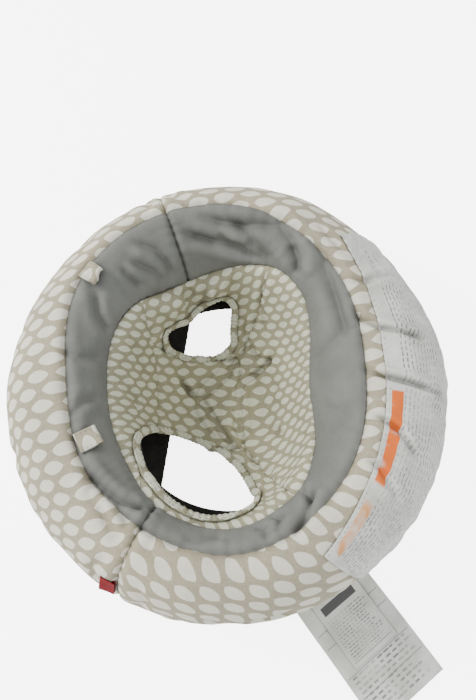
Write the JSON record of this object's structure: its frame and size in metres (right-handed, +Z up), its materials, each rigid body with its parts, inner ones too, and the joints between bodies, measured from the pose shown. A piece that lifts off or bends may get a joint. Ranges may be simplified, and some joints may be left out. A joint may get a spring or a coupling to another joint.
{
  "type": "infant floor support seat",
  "caption": "Stuffed ring-shaped floor seat for a baby, with a sling seat sewn inside the ring, gathered leg holes, toy loops at the front and sewn-in cloth labels",
  "frame": {"origin": "on the floor under the middle of the sling seat, on the ring's own axis", "axes": "+Z up, -Y to the front where the baby's legs come out, +X to the baby's left"},
  "size_m": [0.6073, 0.4817, 0.1942],
  "materials": {
    "printed_cotton": "matt woven cotton, taupe with off-white leaf-shaped dots",
    "grey_knit": "matt brushed knit, mid grey",
    "charcoal_lining": "matt non-woven, charcoal",
    "polyester_filling": "loose fibre",
    "label_paper": "satin non-woven label, white, crinkled",
    "red_tape": "satin woven tape, dark red, plain",
    "elastic": "braided elastic"
  },
  "bodies": {
    "seat": {"ring_filling": "polyester_filling", "front_print_panel": "printed_cotton", "back_print_panel": "printed_cotton", "front_grey_panel": "grey_knit", "back_grey_panel": "grey_knit", "inner_lining": "charcoal_lining", "base_panel": "charcoal_lining", "seat_front_panel": "printed_cotton", "seat_crotch_panel": "printed_cotton", "seat_back_panel": "printed_cotton", "seat_left_panel": "printed_cotton", "seat_right_panel": "printed_cotton", "left_leg_hem": "printed_cotton", "right_leg_hem": "printed_cotton", "left_leg_elastic": "elastic", "right_leg_elastic": "elastic", "back_label": "label_paper"},
    "left_loop": {"toy_loop_left": "printed_cotton"},
    "right_loop": {"toy_loop_right": "printed_cotton"},
    "tag": {"side_tag": "red_tape"},
    "law_flap": {"law_label": "label_paper"},
    "care_flap": {"care_label": "label_paper"}
  },
  "joints": [
    {"name": "left_loop_fold", "type": "hinge", "parent": "seat", "child": "left_loop", "pos_m": [0.06809, -0.13961, 0.18327], "axis": [0.8988, 0.4384, 0], "range_deg": [0, 100]},
    {"name": "right_loop_fold", "type": "hinge", "parent": "seat", "child": "right_loop", "pos_m": [-0.11338, -0.14001, 0.18614], "axis": [0.7771, -0.6293, 0], "range_deg": [0, 100]},
    {"name": "tag_fold", "type": "hinge", "parent": "seat", "child": "tag", "pos_m": [0.1969, -0.10914, 0.15039], "axis": [-0.4267, 0.2365, 0.8729], "range_deg": [0, 90]},
    {"name": "law_label_lift", "type": "hinge", "parent": "seat", "child": "law_flap", "pos_m": [0.20435, 0.09098, 0.0008], "axis": [0.5592, -0.829, 0], "range_deg": [0, 40]},
    {"name": "care_label_lift", "type": "hinge", "parent": "law_flap", "child": "care_flap", "pos_m": [0.20435, 0.09098, 0.002], "axis": [0.5592, -0.829, 0], "range_deg": [0, 20]}
  ]
}
